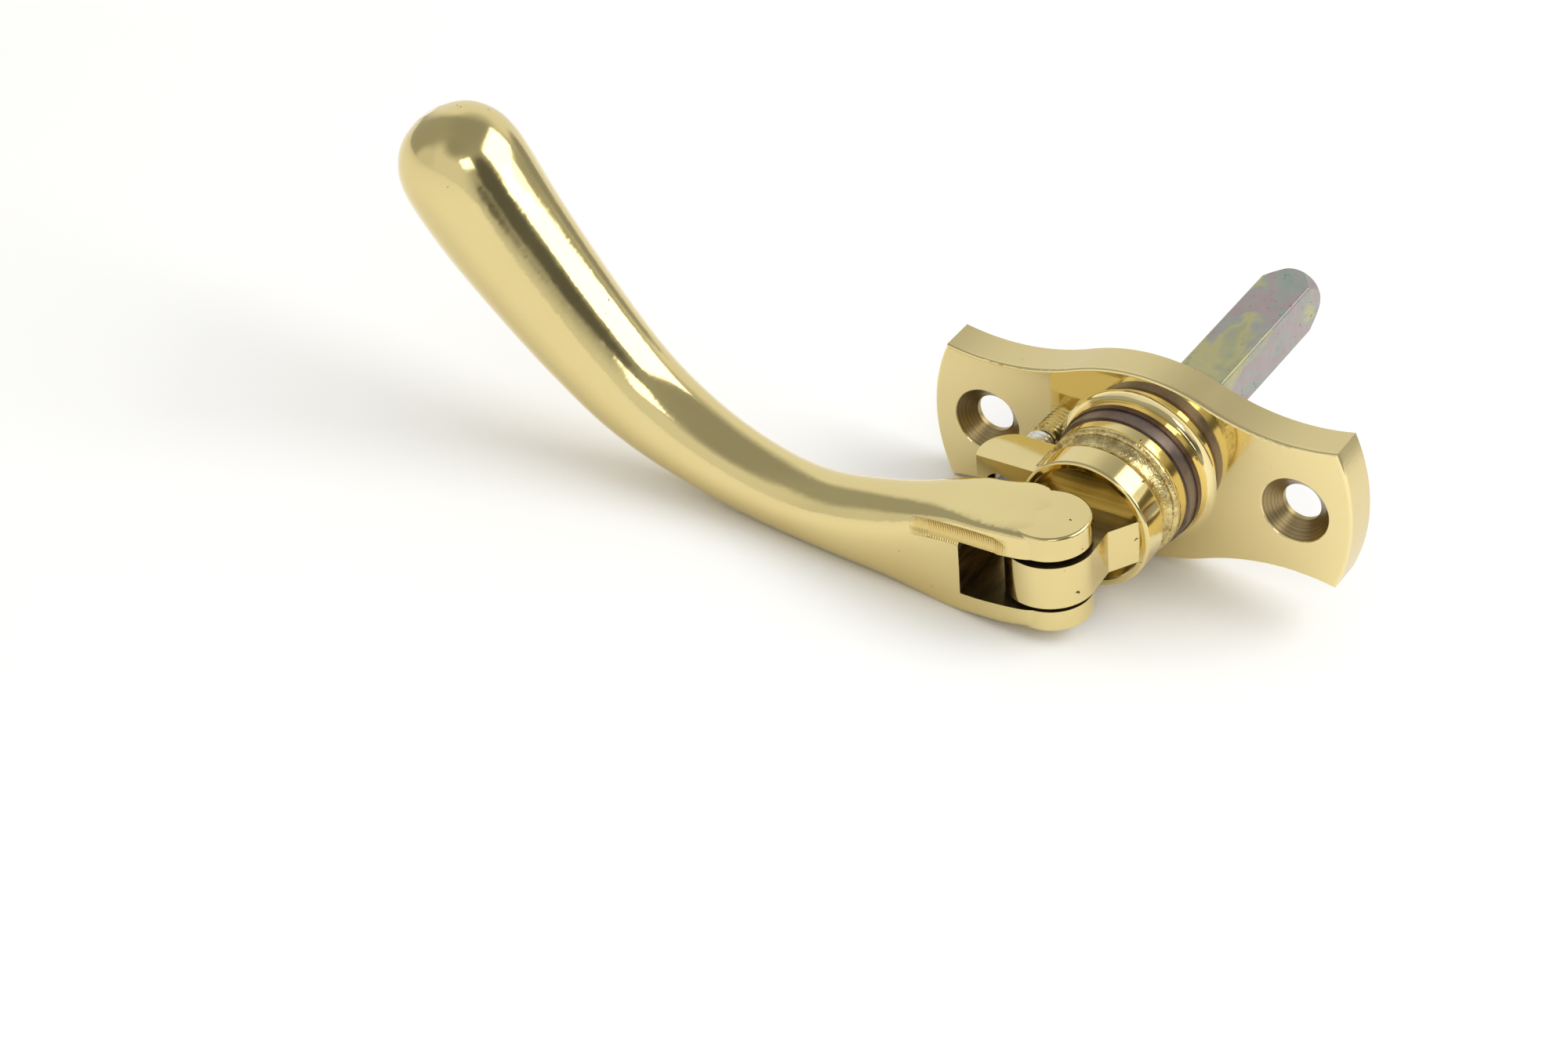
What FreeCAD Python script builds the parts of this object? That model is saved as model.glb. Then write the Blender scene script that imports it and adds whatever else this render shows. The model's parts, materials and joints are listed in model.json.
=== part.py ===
import FreeCAD, Part
import Sketcher
import math
import os

# Hinged window handle on a hollow brass backplate, in millimetres.
# Origin: centre of the backplate's rear face, on the spindle axis.
# +X runs along the plate away from the grip, +Y points into the window, +Z is up the plate's short side.

V = FreeCAD.Vector
doc = FreeCAD.newDocument("window_handle")

# ---------------------------------------------------------------- driving dimensions
DIMENSIONS = {
    # backplate
    "plate_half_length": 27.0,
    "plate_end_bulge": 2.1,
    "plate_waist_position": 20.5,
    "plate_waist_half_height": 9.3,
    "plate_waist_radius": 30.0,
    "plate_middle_half_height": 13.35,
    "plate_thickness": 5.2,
    "plate_floor": 2.2,
    "plate_end_floor": 2.8,
    "plate_rim_width": 2.4,
    "plate_end_rim_width": 1.4,
    "plate_middle_hollow_radius": 10.4,
    "plate_edge_round": 0.35,
    "boss_radius": 9.8,
    "boss_height": 1.9,
    "boss_fillet": 1.1,
    "fixing_centres": 43.0,
    "fixing_hole_radius": 2.6,
    "fixing_countersink_radius": 4.62,
    # rotating stack on the hub journal
    "journal_radius": 6.5,
    "journal_clearance": 0.06,
    "seat_washer_radius": 9.7,
    "seat_washer_thickness": 0.7,
    "friction_washer_radius": 9.5,
    "friction_washer_thickness": 1.8,
    "spring_washer_radius": 9.2,
    "spring_washer_sheet": 0.4,
    "spring_washer_height": 0.7,
    "backing_washer_radius": 9.0,
    "backing_washer_thickness": 0.5,
    "circlip_thickness": 1.0,
    "circlip_radius": 7.9,
    "circlip_groove_radius": 6.2,
    "circlip_lug_radius": 1.25,
    # hub
    "collar_radius": 9.2,
    "collar_height": 2.7,
    "collar_round": 0.7,
    "neck_radius": 8.0,
    "neck_height": 2.9,
    "hood_radius": 8.9,
    "hood_front": 19.3,
    "hood_round": 0.4,
    "recess_radius": 7.8,
    "recess_depth": 2.2,
    "tongue_thickness": 6.0,
    "tongue_drop": 0.1,
    "tongue_radius": 5.6,
    "tongue_root_half_width": 7.7,
    "tongue_flare_front": 22.9,
    "pin_distance": 27.6,
    "tongue_flare_inset": 0.3,
    "lug_reach": 16.5,
    "lug_root": 5.5,
    "lug_back": 10.3,
    "lug_front": 16.6,
    "lug_top": 3.5,
    "lug_bottom": 4.7,
    "lug_crown_length": 2.6,
    # hinge pin and lock screw
    "pin_radius": 2.0,
    "pin_running_clearance": 0.05,
    "pin_bottom": 6.8,
    "pin_top": 5.6,
    "lock_screw_offset": 13.3,
    "lock_screw_drop": 0.5,
    "lock_screw_radius": 2.0,
    "lock_screw_clearance": 0.05,
    "lock_screw_length": 10.0,
    "lock_screw_tip": 5.3,
    "thread_pitch": 0.7,
    "thread_depth": 0.4,
    "hex_across_flats": 2.0,
    "hex_depth": 2.2,
    # spindle and its cross pin
    "spindle_side": 7.0,
    "spindle_clearance": 0.03,
    "spindle_length_behind": 40.7,
    "spindle_start": 16.4,
    "spindle_edge_round": 0.4,
    "cross_pin_radius": 1.0,
    "cross_pin_half_length": 6.3,
    "cross_pin_distance": 8.3,
    # lever
    "ear_half_height": 6.9,
    "ear_radius": 5.2,
    "slot_top": 3.6,
    "slot_bottom": 3.9,
    "slot_end": 9.2,
    "ear_round": 0.4,
    "relief_radius": 2.0,
    "relief_front": 33.6,
    "relief_depth": 0.4,
    "relief_start": 4.5,
    "relief_end": 13.5,
    "relief_height": 4.7,
    "relief_run_out": 2.5,
}

sheet = doc.addObject("Spreadsheet::Sheet", "dimensions")
for row, (alias, value) in enumerate(DIMENSIONS.items(), start=1):
    sheet.set(f"A{row}", alias)
    sheet.set(f"B{row}", str(value))
    sheet.setAlias(f"B{row}", alias)
doc.recompute()


def size(alias):
    """Value of one driving dimension."""
    return float(sheet.get(alias))


# ---------------------------------------------------------------- helpers
def new_body(name):
    body = doc.addObject("PartDesign::Body", name)
    body.Label = name
    return body


def new_sketch(body, name, role):
    """Empty sketch on one of the body's own origin planes."""
    plane = next(f for f in body.Origin.OriginFeatures if f.Role == role)
    sketch = body.newObject("Sketcher::SketchObject", name)
    sketch.AttachmentSupport = (plane, [""])
    sketch.MapMode = "FlatFace"
    return sketch


def add_circle(sketch, x, y, radius, alias=None):
    index = sketch.addGeometry(Part.Circle(V(x, y, 0), V(0, 0, 1), radius), False)
    name = f"radius_{index}"
    sketch.addConstraint(Sketcher.Constraint("Radius", index, radius))
    if alias:
        sketch.renameConstraint(sketch.ConstraintCount - 1, name)
        sketch.setExpression(f"Constraints.{name}", f"dimensions.{alias}")
    return index


def close_chain(sketch, first, count):
    """Tie the touching ends of neighbouring curves; an arc may run either way round."""
    for step in range(count):
        this = first + step
        following = first + (step + 1) % count
        pairs = [(a, b) for a in (2, 1) for b in (1, 2)]
        gaps = [(sketch.getPoint(this, a) - sketch.getPoint(following, b)).Length for a, b in pairs]
        a, b = pairs[gaps.index(min(gaps))]
        sketch.addConstraint(Sketcher.Constraint("Coincident", this, a, following, b))


def add_outline(sketch, start, steps):
    """Closed outline. A step is an end point, or a point to bend through and then an end point."""
    first = sketch.GeometryCount
    here = start
    for step in steps:
        if isinstance(step[0], tuple):
            through, there = step
            curve = Part.Arc(V(*here, 0), V(*through, 0), V(*there, 0))
        else:
            there = step
            curve = Part.LineSegment(V(*here, 0), V(*there, 0))
        sketch.addGeometry(curve, False)
        here = there
    close_chain(sketch, first, len(steps))


def add_polygon(sketch, points):
    add_outline(sketch, points[0], points[1:] + points[:1])


def pad(body, sketch, length, symmetric=False, reverse=False):
    feature = body.newObject("PartDesign::Pad", sketch.Name + "_pad")
    feature.Profile = sketch
    feature.setExpression("Length", length)
    feature.SideType = "Symmetric" if symmetric else "One side"
    feature.Reversed = reverse
    sketch.Visibility = False
    doc.recompute()
    return feature


def pocket(body, sketch, length=None, symmetric=False, reverse=True):
    """Cut a sketch to a depth, or right through when no depth is given."""
    before = body.Shape.Volume
    feature = body.newObject("PartDesign::Pocket", sketch.Name + "_pocket")
    feature.Profile = sketch
    if length is None:
        feature.Type = "ThroughAll"
    else:
        feature.setExpression("Length", length)
    feature.SideType = "Symmetric" if symmetric else "One side"
    feature.Reversed = reverse
    sketch.Visibility = False
    doc.recompute()
    assert body.Shape.Volume < before - 1e-3, f"{feature.Name} cuts nothing"
    return feature


def revolve(body, sketch):
    """Turn a sketch on the XY plane about its vertical axis, which is the spindle axis."""
    feature = body.newObject("PartDesign::Revolution", sketch.Name + "_turned")
    feature.Profile = sketch
    feature.ReferenceAxis = (sketch, ["V_Axis"])
    feature.Angle = 360
    sketch.Visibility = False
    doc.recompute()
    return feature


def circles_at(feature, radius, y):
    """Names of the circular edges of one radius lying in the plane at y."""
    names = []
    for number, edge in enumerate(feature.Shape.Edges, start=1):
        curve = edge.Curve
        if isinstance(curve, Part.Circle) and abs(curve.Radius - radius) < 1e-3:
            if abs(edge.BoundBox.YMin - y) < 1e-3 and edge.BoundBox.YLength < 1e-3:
                names.append(f"Edge{number}")
    return names


def dress(body, kind, base, edges, value):
    """Fillet or chamfer named edges; value is a sheet expression."""
    feature = body.newObject(f"PartDesign::{kind}", f"{base.Name}_{kind.lower()}")
    feature.Base = (base, edges)
    feature.setExpression("Radius" if kind == "Fillet" else "Size", value)
    doc.recompute()
    return feature


def ring(name, outer, inner_radius, start, thickness):
    """Flat washer lying across the spindle axis, its front face at y = start."""
    body = new_body(name)
    sketch = new_sketch(body, f"{name}_section", "XZ_Plane")
    add_circle(sketch, 0, 0, size(outer), outer)
    add_circle(sketch, 0, 0, inner_radius)
    pad(body, sketch, f"dimensions.{thickness}", reverse=True)
    body.Placement.Base = V(0, start, 0)
    doc.recompute()
    return body


def keep_shape(name, shape, placement=FreeCAD.Placement()):
    feature = doc.addObject("Part::Feature", name)
    feature.Label = name
    feature.Shape = shape
    feature.Placement = placement
    return feature


# ---------------------------------------------------------------- backplate
def plate_outline(sketch):
    """Waisted outline: a convex middle, a hollow waist on each side and a bowed end."""
    half = size("plate_half_length")
    waist_x = size("plate_waist_position")
    waist_r = size("plate_waist_radius")
    waist_z = size("plate_waist_half_height") + waist_r
    middle = size("plate_middle_half_height")
    # the middle arc touches both waist arcs
    gap = waist_z - middle
    middle_r = (waist_x**2 + gap**2 - waist_r**2) / (2 * (waist_r - gap))
    middle_z = middle - middle_r
    share = middle_r / (middle_r + waist_r)
    touch = (waist_x * share, middle_z + (waist_z - middle_z) * share)
    corner_z = waist_z - math.sqrt(waist_r**2 - (half - waist_x) ** 2)
    waist_low = (waist_x, waist_z - waist_r)
    end = (half + size("plate_end_bulge"), 0)

    corner = (half, corner_z)
    start = (-touch[0], touch[1])
    steps = []
    for side in (1, -1):
        steps += [
            ((0, side * middle), (side * touch[0], side * touch[1])),
            ((side * waist_low[0], side * waist_low[1]), (side * corner[0], side * corner[1])),
            ((side * end[0], 0), (side * corner[0], -side * corner[1])),
            ((side * waist_low[0], -side * waist_low[1]), (side * touch[0], -side * touch[1])),
        ]
    add_outline(sketch, start, steps)


def make_backplate():
    body = new_body("backplate")
    outline = new_sketch(body, "plate_outline", "XZ_Plane")
    plate_outline(outline)
    slab = pad(body, outline, "dimensions.plate_thickness")
    front = -size("plate_thickness")
    rim = [
        f"Edge{number}"
        for number, edge in enumerate(slab.Shape.Edges, start=1)
        if edge.BoundBox.YMax < front + 1e-3
    ]
    dress(body, "Fillet", slab, rim, "dimensions.plate_edge_round")

    boss = new_sketch(body, "plate_boss", "XZ_Plane")
    add_circle(boss, 0, 0, size("boss_radius"), "boss_radius")
    raised = pad(body, boss, "dimensions.plate_thickness + dimensions.boss_height")
    foot = circles_at(raised, size("boss_radius"), front)
    dress(body, "Fillet", raised, foot, "dimensions.boss_fillet")

    bore = new_sketch(body, "plate_bore", "XZ_Plane")
    add_circle(bore, 0, 0, size("journal_radius") + size("journal_clearance"))
    pocket(body, bore)

    fixings = new_sketch(body, "plate_fixings", "XZ_Plane")
    for side in (-1, 1):
        x = side * size("fixing_centres") / 2
        add_circle(fixings, x, 0, size("fixing_hole_radius"), "fixing_hole_radius")
    drilled = pocket(body, fixings)
    mouths = circles_at(drilled, size("fixing_hole_radius"), front)
    sunk = "dimensions.fixing_countersink_radius - dimensions.fixing_hole_radius"
    dress(body, "Chamfer", drilled, mouths, sunk)

    hollow = new_sketch(body, "plate_hollow", "XZ_Plane")
    reach = size("plate_half_length") - size("plate_end_rim_width")
    height = size("plate_waist_half_height") - size("plate_rim_width")
    add_polygon(hollow, [(-reach, -height), (reach, -height), (reach, height), (-reach, height)])
    pocket(body, hollow, "dimensions.plate_thickness - dimensions.plate_end_floor")
    middle = new_sketch(body, "plate_hollow_middle", "XZ_Plane")
    add_circle(middle, 0, 0, size("plate_middle_hollow_radius"), "plate_middle_hollow_radius")
    pocket(body, middle, "dimensions.plate_thickness - dimensions.plate_floor")
    return body


# ---------------------------------------------------------------- hub
def hub_levels():
    """Distances of the hub's shoulders in front of the plate's rear face."""
    seat = size("plate_thickness") + size("boss_height")
    collar_back = seat + size("seat_washer_thickness") + size("friction_washer_thickness")
    collar_front = collar_back + size("collar_height")
    hood_back = collar_front + size("neck_height")
    floor_back = size("plate_thickness") - size("plate_floor")
    groove_front = floor_back - size("spring_washer_height") - size("backing_washer_thickness")
    groove_back = groove_front - size("circlip_thickness")
    return collar_back, collar_front, hood_back, groove_front, groove_back


def make_hub():
    body = new_body("hub")
    collar_back, collar_front, hood_back, groove_front, groove_back = hub_levels()
    journal = size("journal_radius")
    groove = size("circlip_groove_radius")
    collar = size("collar_radius")
    neck = size("neck_radius")
    hood = size("hood_radius")
    front = size("hood_front")
    recess = size("recess_radius")
    round_c = size("collar_round")
    round_h = size("hood_round")
    play = 0.05
    journal_end = 0.2
    bevel = 0.3
    easing = 1 - math.sqrt(0.5)
    neck_sweep = (hood_back - collar_front) / 2

    def at(radius, distance):
        return (radius, -distance)

    section = new_sketch(body, "hub_section", "XY_Plane")
    steps = [
        at(journal - bevel, journal_end),
        at(journal, journal_end + bevel),
        at(journal, groove_back - play),
        at(groove, groove_back - play),
        at(groove, groove_front + play),
        at(journal, groove_front + play),
        at(journal, collar_back),
        at(collar - bevel / 2, collar_back),
        at(collar, collar_back + bevel / 2),
        at(collar, collar_front - round_c),
        (at(collar - easing * round_c, collar_front - easing * round_c), at(collar - round_c, collar_front)),
        (at(neck, collar_front + neck_sweep), at(hood - round_h, hood_back)),
        (at(hood - easing * round_h, hood_back + easing * round_h), at(hood, hood_back + round_h)),
        at(hood, front - round_h),
        (at(hood - easing * round_h, front - easing * round_h), at(hood - round_h, front)),
        at(recess + round_h / 2, front),
        at(recess, front - round_h / 2),
        at(recess - round_h, front - size("recess_depth") + round_h),
        at(recess - 2 * round_h, front - size("recess_depth")),
        at(0, front - size("recess_depth")),
        at(0, journal_end),
    ]
    add_outline(section, at(0, journal_end), steps)
    revolve(body, section)

    # tongue: a rounded nose about the hinge pin that flares out to the hood's rim
    pin = -size("pin_distance")
    nose = size("tongue_radius")
    root = size("tongue_root_half_width")
    flare = -size("tongue_flare_front")
    waist = nose - size("tongue_flare_inset")
    sunk = 0.5
    base_y = -(size("hood_front") - size("recess_depth")) + sunk
    shoulder = -front + sunk / 2
    tongue = new_sketch(body, "hub_tongue", "XY_Plane")
    steps = [
        (-waist, flare),
        (-root, shoulder),
        (-root, base_y),
        (root, base_y),
        (root, shoulder),
        (waist, flare),
        (nose, pin),
        ((0, pin - nose), (-nose, pin)),
    ]
    add_outline(tongue, (-nose, pin), steps)
    tongue_bottom = -size("tongue_thickness") / 2 - size("tongue_drop")
    tongue.AttachmentOffset = FreeCAD.Placement(V(0, 0, tongue_bottom), FreeCAD.Rotation())
    pad(body, tongue, "dimensions.tongue_thickness")

    # lug that carries the lock screw
    reach = -size("lug_reach")
    back = -size("lug_back")
    lug_front = -size("lug_front")
    inside = -size("lug_root")
    length = size("lug_crown_length")
    lug = new_sketch(body, "hub_lug", "XY_Plane")
    steps = [
        (reach + length, back),
        ((reach + 0.29 * length, back - 0.48 * length), (reach, lug_front)),
        (inside, lug_front),
        (inside, back),
    ]
    add_outline(lug, (inside, back), steps)
    lug.AttachmentOffset = FreeCAD.Placement(V(0, 0, -size("lug_bottom")), FreeCAD.Rotation())
    pad(body, lug, "dimensions.lug_top + dimensions.lug_bottom")

    bores = new_sketch(body, "hub_pin_bore", "XY_Plane")
    add_circle(bores, 0, pin, size("pin_radius") + size("pin_running_clearance"))
    pocket(body, bores, symmetric=True)
    cross = new_sketch(body, "hub_cross_bore", "XY_Plane")
    add_circle(cross, 0, -size("cross_pin_distance"), size("cross_pin_radius"))
    pocket(body, cross, symmetric=True)
    lock = new_sketch(body, "hub_lock_bore", "XZ_Plane")
    lock_r = size("lock_screw_radius") + size("lock_screw_clearance")
    add_circle(lock, -size("lock_screw_offset"), -size("lock_screw_drop"), lock_r)
    pocket(body, lock)
    socket = new_sketch(body, "hub_socket", "XZ_Plane")
    half = size("spindle_side") / 2 + size("spindle_clearance")
    add_polygon(socket, [(-half, -half), (half, -half), (half, half), (-half, half)])
    pocket(body, socket, "dimensions.spindle_start + 2 * dimensions.spindle_clearance")
    return body


# ---------------------------------------------------------------- spindle and its cross pin
def make_spindle():
    body = new_body("spindle")
    section = new_sketch(body, "spindle_section", "XZ_Plane")
    half = size("spindle_side") / 2
    add_polygon(section, [(-half, -half), (half, -half), (half, half), (-half, half)])
    total = "dimensions.spindle_length_behind + dimensions.spindle_start"
    bar = pad(body, section, total)
    body.Placement.Base = V(0, size("spindle_length_behind"), 0)
    doc.recompute()
    long_edges = [
        f"Edge{number}"
        for number, edge in enumerate(bar.Shape.Edges, start=1)
        if edge.BoundBox.YLength > size("spindle_length_behind")
    ]
    dress(body, "Fillet", bar, long_edges, "dimensions.spindle_edge_round")

    # worn, domed far end, at the body's own y = 0
    dome = new_sketch(body, "spindle_dome", "XY_Plane")
    shoulder = (half + 0.15, -1.9)
    corner = (half * math.sqrt(2) + 0.1, -5.6)
    outside = corner[0] + 1
    steps = [
        ((2.1, -0.5), shoulder),
        corner,
        (outside, corner[1]),
        (outside, 1),
        (0, 1),
        (0, 0),
    ]
    add_outline(dome, (0, 0), steps)
    before = body.Shape.Volume
    groove = body.newObject("PartDesign::Groove", "spindle_dome_turned")
    groove.Profile = dome
    groove.ReferenceAxis = (dome, ["V_Axis"])
    groove.Angle = 360
    doc.recompute()
    assert body.Shape.Volume < before, "the spindle's dome cuts nothing"

    cross = new_sketch(body, "spindle_cross_bore", "XY_Plane")
    local_y = -size("cross_pin_distance") - size("spindle_length_behind")
    add_circle(cross, 0, local_y, size("cross_pin_radius"))
    pocket(body, cross, symmetric=True)
    return body


def make_cross_pin():
    pin = doc.addObject("Part::Cylinder", "cross_pin")
    pin.Label = "cross_pin"
    pin.setExpression("Radius", "dimensions.cross_pin_radius")
    pin.setExpression("Height", "2 * dimensions.cross_pin_half_length")
    pin.Placement.Base = V(0, -size("cross_pin_distance"), -size("cross_pin_half_length"))
    return pin


# ---------------------------------------------------------------- washers, spring and circlip
def make_spring_washer():
    """Conical disc spring between the plate's floor and the backing washer."""
    body = new_body("disc_spring")
    inner = size("journal_radius") + 0.15
    outer = size("spring_washer_radius")
    front = -(size("plate_thickness") - size("plate_floor"))
    rise = size("spring_washer_height") - size("spring_washer_sheet")
    sheet_t = size("spring_washer_sheet")
    section = new_sketch(body, "disc_spring_section", "XY_Plane")
    points = [
        (outer, front),
        (outer, front + sheet_t),
        (inner, front + rise + sheet_t),
        (inner, front + rise),
    ]
    add_polygon(section, points)
    revolve(body, section)
    return body


def make_circlip():
    body = new_body("circlip")
    levels = hub_levels()
    inner = size("circlip_groove_radius")
    outer = size("circlip_radius")
    gap = math.radians(16)
    section = new_sketch(body, "circlip_section", "XZ_Plane")

    def around(radius, angle):
        return (radius * math.cos(angle), radius * math.sin(angle))

    start = -math.pi / 2 + gap
    finish = 3 * math.pi / 2 - gap
    through = math.pi / 2
    steps = [
        (around(outer, through), around(outer, finish)),
        around(inner, finish),
        (around(inner, through), around(inner, start)),
        around(outer, start),
    ]
    add_outline(section, around(outer, start), steps)
    pad(body, section, "dimensions.circlip_thickness", reverse=True)
    lugs = new_sketch(body, "circlip_lugs", "XZ_Plane")
    eyes = new_sketch(body, "circlip_eyes", "XZ_Plane")
    lug_r = size("circlip_lug_radius")
    for angle in (start, finish):
        add_circle(lugs, *around(outer, angle), lug_r, "circlip_lug_radius")
        add_circle(eyes, *around(outer, angle), 0.5)
    pad(body, lugs, "dimensions.circlip_thickness", reverse=True)
    pocket(body, eyes, reverse=False)
    body.Placement.Base = V(0, -levels[3], 0)
    doc.recompute()
    return body


# ---------------------------------------------------------------- lock screw and hinge pin
def make_lock_screw():
    """Hexagon-socket grub screw, its tip facing the backplate."""
    body = new_body("lock_screw")
    length = size("lock_screw_length")
    crest = size("lock_screw_radius")
    root = crest - size("thread_depth")
    pitch = size("thread_pitch")
    points = [(0, 0), (root - 0.1, 0)]
    turns = int((length - 2 * pitch) / pitch)
    for turn in range(turns):
        low = -(pitch + turn * pitch)
        points += [(root, low + pitch / 2), (crest, low + pitch * 0.08), (crest, low - pitch * 0.08)]
    last = -(pitch + turns * pitch)
    points += [(root, last + pitch / 2), (crest - 0.1, last), (crest - 0.5, -length), (0, -length)]
    section = new_sketch(body, "lock_screw_section", "XY_Plane")
    add_polygon(section, points)
    revolve(body, section)
    socket = new_sketch(body, "lock_screw_socket", "XZ_Plane")
    corner = size("hex_across_flats") / math.sqrt(3)
    corners = [math.radians(60 * step) for step in range(6)]
    add_polygon(socket, [(corner * math.cos(a), corner * math.sin(a)) for a in corners])
    socket.AttachmentOffset = FreeCAD.Placement(V(0, 0, length), FreeCAD.Rotation())
    pocket(body, socket, "dimensions.hex_depth", reverse=False)
    body.Placement.Base = V(-size("lock_screw_offset"), -size("lock_screw_tip"), -size("lock_screw_drop"))
    doc.recompute()
    return body


def make_hinge_pin():
    pin = doc.addObject("Part::Cylinder", "hinge_pin")
    pin.Label = "hinge_pin"
    pin.setExpression("Radius", "dimensions.pin_radius")
    pin.setExpression("Height", "dimensions.pin_bottom + dimensions.pin_top")
    pin.Placement.Base = V(0, -size("pin_distance"), -size("pin_bottom"))
    return pin


# ---------------------------------------------------------------- lever
# Stations from the clevis to the grip's end: x, y, z, half height, half depth, squareness of the section.
LEVER_STATIONS = [
    (0.5, -27.6, 0.0, 6.8, 5.0, 14.0),
    (-2.5, -27.85, 0.0, 6.92, 5.6, 14.0),
    (-5.5, -27.97, -0.03, 6.94, 5.75, 14.0),
    (-9.0, -28.4, -0.15, 7.05, 5.35, 10.0),
    (-12.0, -28.5, -0.35, 7.1, 5.3, 6.0),
    (-15.2, -28.9, -0.45, 6.75, 5.2, 3.8),
    (-20.5, -29.6, -0.4, 5.85, 5.0, 2.7),
    (-27.5, -30.2, -0.3, 4.95, 4.8, 2.25),
    (-34.0, -30.3, 0.1, 4.6, 4.65, 2.1),
    (-40.2, -30.3, 1.35, 4.8, 4.8, 2.05),
    (-46.0, -30.3, 3.25, 5.15, 5.1, 2.05),
    (-51.5, -30.3, 5.75, 5.65, 5.5, 2.05),
    (-56.6, -30.3, 8.85, 6.1, 5.9, 2.1),
    (-61.1, -30.3, 12.65, 6.5, 6.3, 2.1),
    (-65.3, -30.3, 16.85, 6.9, 6.7, 2.1),
    (-69.3, -30.3, 21.25, 7.3, 7.05, 2.1),
    (-73.2, -30.3, 25.8, 7.7, 7.4, 2.1),
    (-76.8, -30.3, 30.45, 8.0, 7.75, 2.1),
    (-80.0, -30.3, 35.1, 8.15, 7.9, 2.1),
]
# The grip's rounded end: share of the last section's radius reached at a share of that radius beyond it.
GRIP_END = [(0.32, 0.965), (0.60, 0.86), (0.83, 0.68), (0.99, 0.42), (1.06, 0.18)]
STRAIGHT_STATIONS = 5
SECTION_POINTS = 24


def section_wire(centre, along, half_height, half_depth, squareness):
    """Closed smooth section across the lever, squarer near the clevis."""
    depth_axis = V(0, 1, 0)
    height_axis = along.cross(depth_axis)
    height_axis.normalize()
    points = []
    for step in range(SECTION_POINTS):
        angle = 2 * math.pi * step / SECTION_POINTS
        c, s = math.cos(angle), math.sin(angle)
        up = math.copysign(abs(s) ** (2 / squareness), s) * half_height
        across = math.copysign(abs(c) ** (2 / squareness), c) * half_depth
        points.append(centre + height_axis * up + depth_axis * across)
    curve = Part.BSplineCurve()
    curve.interpolate(points, PeriodicFlag=True)
    return Part.Wire(curve.toShape())


def make_lever():
    centres = [V(*station[:3]) for station in LEVER_STATIONS]
    wires = []
    for index, station in enumerate(LEVER_STATIONS):
        ahead = centres[min(index + 1, len(centres) - 1)]
        behind = centres[max(index - 1, 0)]
        along = V(ahead.x - behind.x, 0, ahead.z - behind.z)
        if index < STRAIGHT_STATIONS:
            along = V(-1, 0, 0)
        along.normalize()
        wires.append(section_wire(centres[index], along, *station[3:]))
    _, _, _, half_height, half_depth, squareness = LEVER_STATIONS[-1]
    for reach, share in GRIP_END:
        centre = centres[-1] + along * (reach * half_height)
        wires.append(section_wire(centre, along, half_height * share, half_depth * share, squareness))
    shank = Part.makeLoft(wires, True, False)

    pin = -size("pin_distance")
    ear = size("ear_radius")
    half = size("ear_half_height")
    round_end = Part.makeCylinder(ear, 2 * half, V(0, pin, -half))
    rims = [edge for edge in round_end.Edges if edge.BoundBox.ZLength < 1e-3]
    round_end = round_end.makeFillet(size("ear_round"), rims)
    lever = shank.fuse(round_end)

    # slot for the hub's tongue, blind bore for the pin, and the milled relief above the slot's front lip
    slot_bottom = -size("slot_bottom")
    slot_end = size("slot_end")
    outside = 12
    corner = V(-slot_end, pin - outside, slot_bottom)
    opening = Part.makeBox(slot_end + outside, 2 * outside, size("slot_top") - slot_bottom, corner)
    bore = Part.makeCylinder(size("pin_radius"), half + size("pin_top") + 1, V(0, pin, -half - 1))
    cutter = size("relief_radius")
    relief_y = -size("relief_front") - cutter + size("relief_depth")
    start = V(-size("relief_end"), relief_y, size("relief_height"))
    length = size("relief_end") - size("relief_start")
    relief = Part.makeCylinder(cutter, length, start, V(1, 0, 0))
    run_out = size("relief_run_out")
    for end, side in ((start, -1), (start + V(length, 0, 0), 1)):
        cone = Part.makeCone(cutter, cutter - size("relief_depth"), run_out, end, V(side, 0, 0))
        relief = relief.fuse(cone)
    lever = lever.cut(opening).cut(bore).cut(relief)
    return keep_shape("lever", lever)


# ---------------------------------------------------------------- assembly
bore_radius = size("journal_radius") + 0.1
collar_back, collar_front, hood_back, groove_front, groove_back = hub_levels()
friction_front = -collar_back
seat_front = friction_front + size("friction_washer_thickness")

nodes = [
    make_backplate(),
    make_hub(),
    make_spindle(),
    make_cross_pin(),
    ring("seat_washer", "seat_washer_radius", bore_radius, seat_front, "seat_washer_thickness"),
    ring("friction_washer", "friction_washer_radius", bore_radius, friction_front, "friction_washer_thickness"),
    make_spring_washer(),
    ring(
        "backing_washer",
        "backing_washer_radius",
        bore_radius,
        -groove_front - size("backing_washer_thickness"),
        "backing_washer_thickness",
    ),
    make_circlip(),
    make_lock_screw(),
    make_hinge_pin(),
    make_lever(),
]
doc.recompute()

for item in doc.Objects:
    assert not {"Invalid", "Error"} & set(item.State), f"{item.Name}: {item.State}"
os.makedirs("parts", exist_ok=True)
for node in nodes:
    assert not node.Shape.isNull() and node.Shape.isValid(), node.Label
    assert len(node.Shape.Solids) == 1, f"{node.Label} has {len(node.Shape.Solids)} solids"
    node.Shape.exportStep(f"parts/{node.Label}.step")
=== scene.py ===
import json
import math

import bpy
from mathutils import Matrix, Vector

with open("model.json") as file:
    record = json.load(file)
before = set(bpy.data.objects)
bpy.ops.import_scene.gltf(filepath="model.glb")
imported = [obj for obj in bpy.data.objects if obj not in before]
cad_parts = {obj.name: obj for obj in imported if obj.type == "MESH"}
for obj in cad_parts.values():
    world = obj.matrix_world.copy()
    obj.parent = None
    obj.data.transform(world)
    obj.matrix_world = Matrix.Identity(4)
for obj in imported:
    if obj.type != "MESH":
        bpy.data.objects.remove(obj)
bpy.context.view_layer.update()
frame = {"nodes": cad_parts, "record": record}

scene = bpy.context.scene
scene.view_settings.view_transform = "Standard"


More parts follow.
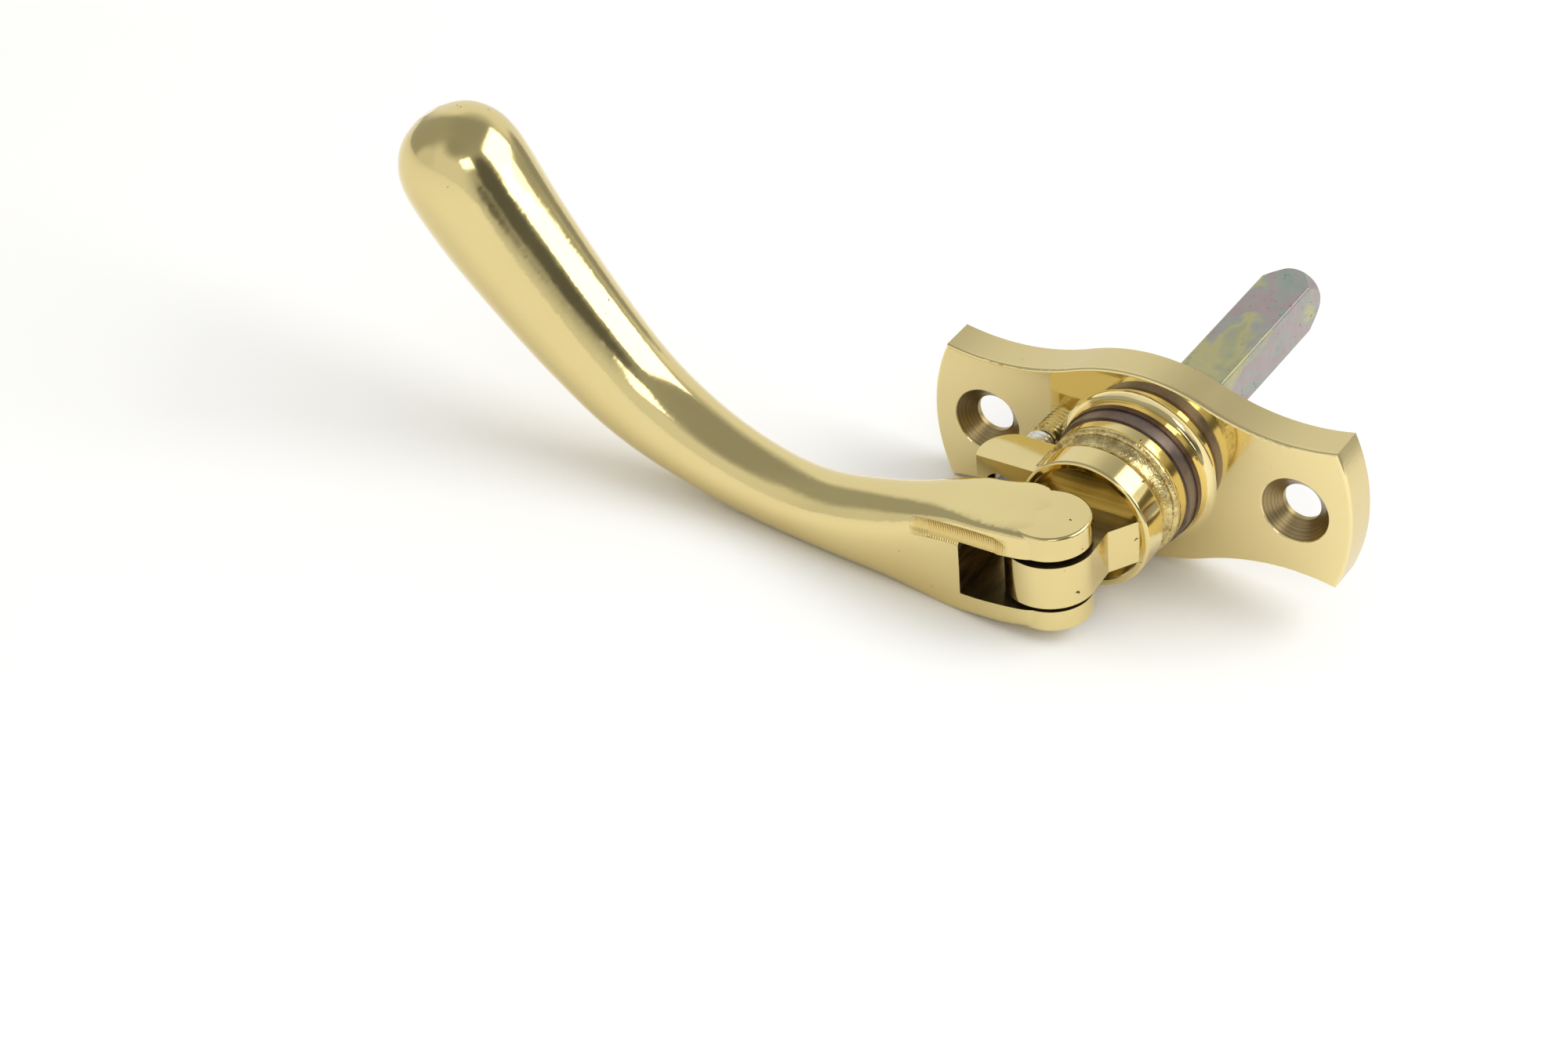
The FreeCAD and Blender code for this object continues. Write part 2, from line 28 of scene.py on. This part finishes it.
# ---------------------------------------------------------------- places on the part, in metres
mounts = {mount["name"]: mount for mount in frame["record"]["mounts"]}
HOLE_X = mounts["fixing_screws"]["dims"]["spacing_x_mm"] / 2000
SLOT_X, SLOT_Z = (-0.00925, 0.02), (-0.003915, 0.003615)
RELIEF_AXIS, RELIEF_RADIUS, RELIEF_X = (-0.0352, 0.0047), 0.00204, (-0.0156, -0.0028)
RECESS_RADIUS, RECESS_Y = 0.00783, (-0.01925, -0.0169)
TONGUE_Z, CHEEK_Z, TONGUE_Y = (-0.00309, 0.00289), (-0.0032, 0.003), (-0.04, -0.0193)
NECK_RADIUS, NECK_Y = (0.0074, 0.0094), (-0.0151, -0.0117)
FACE_Y, SIDE_BAND_Y = (-0.0075, -0.0049), (-0.0047, 0.0002)
CONE_RADIUS, CONE_Y = (0.0024, 0.00462), (-0.00512, -0.0023)
HOLLOW_X, HOLLOW_Y, HOLLOW_Z = (-0.0257, 0.0257), (-0.0031, -0.0001), (-0.0089, 0.0089)
INSIDE = -1  # a lower limit that every radius passes


# ---------------------------------------------------------------- node helpers
class Nodes:
    """Small helper that adds and joins shader nodes."""

    def __init__(self, name):
        self.material = bpy.data.materials.new(name)
        self.material.use_nodes = True
        self.tree = self.material.node_tree
        self.shader = self.tree.nodes["Principled BSDF"]
        coords = self.tree.nodes.new("ShaderNodeTexCoord")
        self.position = coords.outputs["Object"]

    def add(self, kind, **settings):
        node = self.tree.nodes.new(kind)
        for key, value in settings.items():
            if key in node.inputs:
                node.inputs[key].default_value = value
            else:
                setattr(node, key, value)
        return node

    def link(self, source, target):
        self.tree.links.new(source, target)

    def stretch(self, scale):
        mapping = self.add("ShaderNodeMapping")
        mapping.inputs["Scale"].default_value = scale
        self.link(self.position, mapping.inputs["Vector"])
        return mapping.outputs["Vector"]

    def noise(self, scale, detail=2.0, rough=0.5, vector=None, distortion=0.0):
        settings = {"Scale": scale, "Detail": detail, "Roughness": rough, "Distortion": distortion}
        node = self.add("ShaderNodeTexNoise", **settings)
        self.link(vector or self.position, node.inputs["Vector"])
        return node.outputs["Fac"]

    def ramp(self, factor, stops):
        node = self.add("ShaderNodeValToRGB")
        elements = node.color_ramp.elements
        while len(elements) < len(stops):
            elements.new(0.5)
        for element, (place, colour) in zip(elements, stops):
            element.position = place
            rgb = colour if isinstance(colour, tuple) else (colour, colour, colour)
            element.color = (*rgb, 1.0)
        self.link(factor, node.inputs["Fac"])
        return node.outputs["Color"]

    def maths(self, operation, a, b=None):
        node = self.add("ShaderNodeMath", operation=operation)
        for slot, value in zip(node.inputs, (a, b)):
            if value is None:
                continue
            if isinstance(value, (int, float)):
                slot.default_value = value
            else:
                self.link(value, slot)
        return node.outputs[0]

    def mix(self, factor, a, b):
        node = self.add("ShaderNodeMix", data_type="RGBA")
        slots = (node.inputs["Factor"], node.inputs["A"], node.inputs["B"])
        for slot, value in zip(slots, (factor, a, b)):
            if isinstance(value, tuple):
                slot.default_value = (*value, 1.0)
            elif isinstance(value, (int, float)):
                slot.default_value = value
            else:
                self.link(value, slot)
        return node.outputs["Result"]

    def bump(self, height, distance, strength=1.0, normal=None):
        node = self.add("ShaderNodeBump", Strength=strength, Distance=distance)
        self.link(height, node.inputs["Height"])
        if normal:
            self.link(normal, node.inputs["Normal"])
        return node.outputs["Normal"]

    def within(self, value, low, high, soft=0.00003):
        """1 where a coordinate lies between two limits, in metres, with soft borders."""
        rise = self.add("ShaderNodeMapRange")
        fall = self.add("ShaderNodeMapRange")
        for node, start, end in ((rise, low - soft, low + soft), (fall, high + soft, high - soft)):
            self.link(value, node.inputs["Value"])
            node.inputs["From Min"].default_value = start
            node.inputs["From Max"].default_value = end
        return self.maths("MULTIPLY", rise.outputs["Result"], fall.outputs["Result"])

    def every(self, *masks):
        total = masks[0]
        for mask in masks[1:]:
            total = self.maths("MULTIPLY", total, mask)
        return total

    def split(self):
        node = self.add("ShaderNodeSeparateXYZ")
        self.link(self.position, node.inputs[0])
        return node.outputs

    def distance(self, a, a0, b, b0):
        """Distance from the line where one coordinate is a0 and another is b0."""
        da, db = self.maths("SUBTRACT", a, a0), self.maths("SUBTRACT", b, b0)
        squares = self.maths("ADD", self.maths("MULTIPLY", da, da), self.maths("MULTIPLY", db, db))
        return self.maths("SQRT", squares)


class Brass(Nodes):
    """Hand-polished cast brass; regions are painted over it one after another."""

    BASE, TARNISH = (0.775, 0.645, 0.31), (0.66, 0.51, 0.22)
    SOOT, PIT = (0.045, 0.028, 0.015), (0.12, 0.07, 0.03)

    def __init__(self, name, rough=(0.09, 0.16), grain=(1, 1, 0.1)):
        super().__init__(name)
        self.shader.inputs["Metallic"].default_value = 1.0
        tone = self.ramp(self.noise(38, 3, 0.55), [(0.35, 0.0), (0.75, 0.45)])
        pits = self.ramp(self.noise(900, 2, 0.5), [(0.71, 0.0), (0.74, 1.0)])
        sparse = self.ramp(self.noise(130, 1, 0.5), [(0.60, 0.0), (0.64, 1.0)])
        pitting = self.maths("MULTIPLY", pits, sparse)
        self.colour = self.mix(pitting, self.mix(tone, self.BASE, self.TARNISH), self.PIT)
        self.rough = self.ramp(self.noise(150, 4, 0.6), [(0.3, rough[0]), (0.8, rough[1])])
        hand = self.bump(self.noise(55, 1, 0.4), 0.00005, 0.5)
        scratches = self.noise(2600, 2, 0.6, self.stretch(grain))
        self.normal = self.bump(pitting, 0.00004, 0.6, self.bump(scratches, 0.000003, 0.3, hand))

    def paint(self, mask, colour=None, rough=None, relief=None, depth=0.00001):
        """Lay a region over what is there: its colour, its roughness and its own surface relief."""
        if colour is not None:
            self.colour = self.mix(mask, self.colour, colour)
        if rough is not None:
            self.rough = self.mix(mask, self.rough, (rough, rough, rough))
        if relief is not None:
            self.normal = self.bump(self.maths("MULTIPLY", mask, relief), depth, 1.0, self.normal)

    def finish(self):
        self.link(self.colour, self.shader.inputs["Base Color"])
        self.link(self.rough, self.shader.inputs["Roughness"])
        self.link(self.normal, self.shader.inputs["Normal"])
        return self.material


def lever_brass():
    n = Brass("lever_brass")
    x, y, z = n.split()
    # Painted shade: the slot between the ears is painted nearly black, with streaks.
    slot = n.every(n.within(x, *SLOT_X), n.within(z, *SLOT_Z))
    streaks = n.noise(900, 3, 0.6, n.stretch((1, 0.15, 1)))
    slot_shade = n.ramp(streaks, [(0.35, n.SOOT), (0.55, (0.20, 0.13, 0.06)), (0.8, (0.38, 0.27, 0.12))])
    n.paint(slot, slot_shade, 0.42, streaks, 0.00004)
    axis_y, axis_z = RELIEF_AXIS
    round_part = n.within(n.distance(y, axis_y, z, axis_z), INSIDE, RELIEF_RADIUS)
    groove = n.every(round_part, n.within(x, *RELIEF_X, soft=0.0004))
    wave = n.add("ShaderNodeTexWave", Scale=1.0, Distortion=0.8, **{"Detail Scale": 2.0})
    n.link(n.stretch((950, 120, 120)), wave.inputs["Vector"])
    n.paint(groove, (0.68, 0.52, 0.20), 0.14, wave.outputs["Fac"], 0.00005)
    return n.finish()


def hub_brass():
    n = Brass("hub_brass", (0.09, 0.17), (0.3, 1, 0.3))
    x, y, z = n.split()
    radius = n.distance(x, 0.0, z, 0.0)
    streaks = n.noise(1100, 3, 0.6, n.stretch((0.05, 1, 1)))
    recess = n.every(n.within(radius, INSIDE, RECESS_RADIUS), n.within(y, *RECESS_Y))
    turned = n.ramp(streaks, [(0.3, (0.55, 0.42, 0.17)), (0.7, (0.75, 0.61, 0.28))])
    n.paint(recess, turned, 0.20, streaks, 0.00003)
    # Painted shade: thin strips beside the tongue, inside the lever's slot, are painted nearly black with
    # streaks.
    outside_tongue = n.maths("SUBTRACT", 1.0, n.within(z, *TONGUE_Z))
    shaded_cheeks = n.every(outside_tongue, n.within(z, *CHEEK_Z), n.within(y, *TONGUE_Y))
    dark = n.ramp(streaks, [(0.35, (0.07, 0.045, 0.02)), (0.7, (0.26, 0.18, 0.07))])
    n.paint(shaded_cheeks, dark, 0.4, streaks, 0.00003)
    cast = n.noise(620, 4, 0.7)
    neck = n.every(n.within(radius, *NECK_RADIUS), n.within(y, *NECK_Y, soft=0.0003))
    n.paint(neck, n.ramp(cast, [(0.35, (0.42, 0.31, 0.13)), (0.58, n.BASE)]), 0.20, cast, 0.0003)
    return n.finish()


def plate_brass():
    n = Brass("plate_brass", (0.03, 0.10), (0.12, 1, 1))
    x, y, z = n.split()
    # Painted highlight: the front face is a paler brass than the rest of the plate, so that it looks
    # brighter.
    n.paint(n.within(y, *FACE_Y), (0.87, 0.73, 0.375))
    band = n.within(y, *SIDE_BAND_Y, soft=0.0002)
    satin = n.noise(2200, 3, 0.6, n.stretch((1, 0.2, 1)))
    n.paint(band, (0.70, 0.575, 0.29), 0.27, satin, 0.000008)
    for side in (-1, 1):
        radius = n.distance(x, side * HOLE_X, z, 0.0)
        rings = n.add("ShaderNodeCombineXYZ")
        n.link(radius, rings.inputs[0])
        n.link(y, rings.inputs[1])
        turned = n.noise(3600, 3, 0.7, rings.outputs[0])
        # Painted shade: the countersinks are painted dark, with turned rings over it.
        shaded_cone = n.every(n.within(radius, *CONE_RADIUS), n.within(y, *CONE_Y))
        dark = n.ramp(turned, [(0.3, (0.20, 0.14, 0.065)), (0.7, (0.46, 0.35, 0.17))])
        n.paint(shaded_cone, dark, 0.33, turned, 0.00003)
    cast = n.noise(500, 4, 0.7)
    hollow = n.every(n.within(y, *HOLLOW_Y), n.within(z, *HOLLOW_Z), n.within(x, *HOLLOW_X))
    n.paint(hollow, (0.45, 0.35, 0.16), 0.4, cast, 0.0001)
    return n.finish()


def washer(name, light, dark, rough):
    """Turned metal ring: concentric grooves about the spindle axis."""
    n = Nodes(name)
    s = n.shader
    s.inputs["Metallic"].default_value = 0.85
    x, y, z = n.split()
    rings = n.add("ShaderNodeCombineXYZ")
    n.link(n.distance(x, 0.0, z, 0.0), rings.inputs[0])
    n.link(y, rings.inputs[1])
    lines = n.noise(5200, 3, 0.7, rings.outputs[0])
    patch = n.noise(260, 4, 0.6)
    n.link(n.mix(n.ramp(patch, [(0.35, 0.0), (0.65, 1.0)]), dark, light), s.inputs["Base Color"])
    n.link(n.ramp(patch, [(0.2, rough[0]), (0.8, rough[1])]), s.inputs["Roughness"])
    n.link(n.bump(lines, 0.00003, 0.8), s.inputs["Normal"])
    return n.material


def plated(name, stops, rough):
    """Passivated zinc plate: soft patches of interference colour, dark specks and fine draw lines."""
    n = Nodes(name)
    s = n.shader
    s.inputs["Metallic"].default_value = 0.8
    drift = n.noise(170, 3, 0.6, n.stretch((1, 0.45, 1)), 0.6)
    colour = n.ramp(drift, stops)
    specks = n.ramp(n.noise(1500, 3, 0.65), [(0.62, 0.0), (0.70, 1.0)])
    where = n.ramp(n.noise(160, 2, 0.5), [(0.42, 0.0), (0.62, 1.0)])
    soot = n.maths("MULTIPLY", specks, where)
    n.link(n.mix(soot, colour, (0.05, 0.045, 0.035)), s.inputs["Base Color"])
    n.link(n.ramp(n.noise(420, 4, 0.6), [(0.3, rough[0]), (0.75, rough[1])]), s.inputs["Roughness"])
    draw = n.bump(n.noise(3000, 3, 0.6, n.stretch((1, 0.06, 1))), 0.00001, 0.5)
    n.link(n.bump(specks, 0.00001, 0.5, draw), s.inputs["Normal"])
    return n.material


GREEN, GREY, PINK = (0.35, 0.36, 0.23), (0.33, 0.34, 0.31), (0.39, 0.30, 0.30)
TEAL, GOLD = (0.26, 0.33, 0.28), (0.46, 0.42, 0.20)
materials = {
    "lever": lever_brass(),
    "hub": hub_brass(),
    "backplate": plate_brass(),
    "dark_washer": washer("dark_washer", (0.20, 0.13, 0.09), (0.09, 0.05, 0.04), (0.3, 0.5)),
    "grey_washer": washer("grey_washer", (0.27, 0.22, 0.21), (0.16, 0.12, 0.13), (0.28, 0.45)),
    "passivated_steel": plated(
        "passivated_steel",
        [(0.28, TEAL), (0.40, GREY), (0.47, PINK), (0.53, GREY), (0.60, GOLD), (0.68, GREEN), (0.78, PINK)],
        (0.28, 0.45),
    ),
    "zinc_steel": plated("zinc_steel", [(0.3, (0.80, 0.80, 0.79)), (0.7, (0.90, 0.90, 0.89))], (0.14, 0.28)),
    "spring_steel": plated(
        "spring_steel",
        [(0.3, (0.05, 0.05, 0.05)), (0.7, (0.11, 0.11, 0.11))],
        (0.3, 0.5),
    ),
}
slot_of = {part["node"]: part["material_slot"] for part in frame["record"]["subparts"]}
for name, node in frame["nodes"].items():
    look = materials.get(name) or materials[slot_of[name]]
    if not node.material_slots:
        node.data.materials.append(look)
    for slot in node.material_slots:
        slot.material = look

# ---------------------------------------------------------------- floor, light and camera
# The handle lies on its plate's lower edge and the lever's belly, so the floor is tilted in the part's
# own axes.
floor_up = Vector((0.1237, 0.18, 1.0)).normalized()
rest_point = Vector((0.0, -0.0052, -0.0134))
forward = Vector((-0.4595, 0.6693, -0.5839)).normalized()
away = (forward - forward.dot(floor_up) * floor_up).normalized()
across = away.cross(floor_up)


def studio(azimuth, elevation):
    """Direction from the object: azimuth is clockwise from straight away from the camera, in degrees."""
    a, e = math.radians(azimuth), math.radians(elevation)
    return (away * math.cos(a) + across * math.sin(a)) * math.cos(e) + floor_up * math.sin(e)


reach = 1.6
signs = ((-1, -1), (1, -1), (1, 1), (-1, 1))
corners = [rest_point + across * i * reach + away * j * reach for i, j in signs]
floor_mesh = bpy.data.meshes.new("floor")
floor_mesh.from_pydata([tuple(corner) for corner in corners], [], [(0, 1, 2, 3)])
floor = bpy.data.objects.new("floor", floor_mesh)
scene.collection.objects.link(floor)
paper = Nodes("floor_paper")
paper.shader.inputs["Roughness"].default_value = 0.85
paper.shader.inputs["Specular IOR Level"].default_value = 0.1
tone = paper.ramp(paper.noise(9, 3), [(0.3, (0.93, 0.93, 0.925)), (0.7, (0.95, 0.95, 0.945))])
paper.link(tone, paper.shader.inputs["Base Color"])
# Seen from below, the floor is clear.
facing = paper.add("ShaderNodeNewGeometry")
clear = paper.add("ShaderNodeBsdfTransparent")
either = paper.add("ShaderNodeMixShader")
paper.link(facing.outputs["Backfacing"], either.inputs["Fac"])
paper.link(paper.shader.outputs[0], either.inputs[1])
paper.link(clear.outputs[0], either.inputs[2])
paper.link(either.outputs[0], paper.tree.nodes["Material Output"].inputs["Surface"])
floor_mesh.materials.append(paper.material)

centre = Vector((-0.03, -0.015, 0.01))


def panel(name, azimuth, elevation, distance, width, height, radiance, roll=0.0):
    """Area light that faces the object; radiance is what a mirror shows of it."""
    light = bpy.data.lights.new(name, "AREA")
    light.shape = "RECTANGLE"
    light.size, light.size_y = width, height
    light.energy = radiance * math.pi * width * height
    lamp = bpy.data.objects.new(name, light)
    towards = studio(azimuth, elevation)
    side = floor_up.cross(towards).normalized()
    turned = Matrix((side, towards.cross(side), towards)).transposed().to_4x4()
    rolled = turned @ Matrix.Rotation(math.radians(roll), 4, "Z")
    lamp.matrix_world = Matrix.Translation(centre + towards * distance) @ rolled
    lamp.visible_camera = False
    scene.collection.objects.link(lamp)


panel("key", 88, 47.5, 0.9, 0.84, 0.43, 2.8)
panel("low_key", 98, 29.5, 0.9, 0.74, 0.20, 2.0)
panel("side_box", 176, 32, 0.9, 0.32, 0.20, 2.4, roll=30)

world = bpy.data.worlds.new("studio")
scene.world = world
world.use_nodes = True
tree = world.node_tree
output = tree.nodes["World Output"]


def shell(colour, strength):
    node = tree.nodes.new("ShaderNodeBackground")
    node.inputs["Color"].default_value = (*colour, 1.0)
    node.inputs["Strength"].default_value = strength
    return node


def either_shell(choice, no, yes):
    node = tree.nodes.new("ShaderNodeMixShader")
    tree.links.new(choice, node.inputs["Fac"])
    tree.links.new(no.outputs[0], node.inputs[1])
    tree.links.new(yes.outputs[0], node.inputs[2])
    return node


path = tree.nodes.new("ShaderNodeLightPath")
direction = tree.nodes.new("ShaderNodeTexCoord").outputs["Generated"]
ROOM_GREY = (0.42, 0.43, 0.42, 1.0)


def wall(azimuth, elevation, inner, outer, grey, below):
    """Soft-edged patch laid over the room that the polished metal sees; angles in degrees."""
    dot = tree.nodes.new("ShaderNodeVectorMath")
    dot.operation = "DOT_PRODUCT"
    dot.inputs[1].default_value = studio(azimuth, elevation)
    tree.links.new(direction, dot.inputs[0])
    edge = tree.nodes.new("ShaderNodeMapRange")
    edge.interpolation_type = "SMOOTHSTEP"
    edge.inputs["From Min"].default_value = math.cos(math.radians(outer))
    edge.inputs["From Max"].default_value = math.cos(math.radians(inner))
    tree.links.new(dot.outputs["Value"], edge.inputs["Value"])
    mix = tree.nodes.new("ShaderNodeMix")
    mix.data_type = "RGBA"
    tree.links.new(edge.outputs["Result"], mix.inputs["Factor"])
    if below is None:
        mix.inputs["A"].default_value = ROOM_GREY
    else:
        tree.links.new(below, mix.inputs["A"])
    mix.inputs["B"].default_value = (grey, grey * 1.01, grey * 0.99, 1.0)
    return mix.outputs["Result"]


# Azimuth, elevation, where the patch is full and where it ends, and its grey.
PATCHES = {
    "back wall": (8, 22, 32, 48, 0.92),
    "pale room at the front left": (-148, 12, 22, 50, 0.84),
    "pale room at the left": (-108, 4, 12, 24, 0.75),
    "dull left wall": (-75, 22, 14, 26, 0.42),
    "shade above the front": (-160, 52, 2, 30, 0.36),
    "dark gap between the boxes": (142, 27, 10, 21, 0.12),
    "gap beside the back wall": (46, 12, 6, 16, 0.35),
    "low dark front": (160, 6, 4, 13, 0.14),
    "surround of the key light": (95, 36, 10, 26, 0.25),
    "ceiling": (60, 80, 5, 48, 0.36),
}
room = None
for patch in PATCHES.values():
    room = wall(*patch, below=room)
seen = tree.nodes.new("ShaderNodeBackground")
tree.links.new(room, seen.inputs["Color"])
diffuse = either_shell(path.outputs["Is Glossy Ray"], shell((1.0, 0.995, 0.975), 0.82), seen)
whole = either_shell(path.outputs["Is Camera Ray"], diffuse, shell((1, 1, 1), 1.05))
tree.links.new(whole.outputs[0], output.inputs["Surface"])

camera_data = bpy.data.cameras.new("camera")
camera_data.lens = 94.1
camera_data.sensor_width = 36.0
camera_data.shift_x = -0.0046
camera_data.clip_start = 0.01
camera = bpy.data.objects.new("camera", camera_data)
place = Vector((0.1992, -0.3722, 0.2940))
right = Vector((0.8477, 0.5266, -0.0634))
right = (right - right.dot(forward) * forward).normalized()
up = right.cross(forward)
camera.matrix_world = Matrix.Translation(place) @ Matrix((right, up, -forward)).transposed().to_4x4()
scene.collection.objects.link(camera)
scene.camera = camera
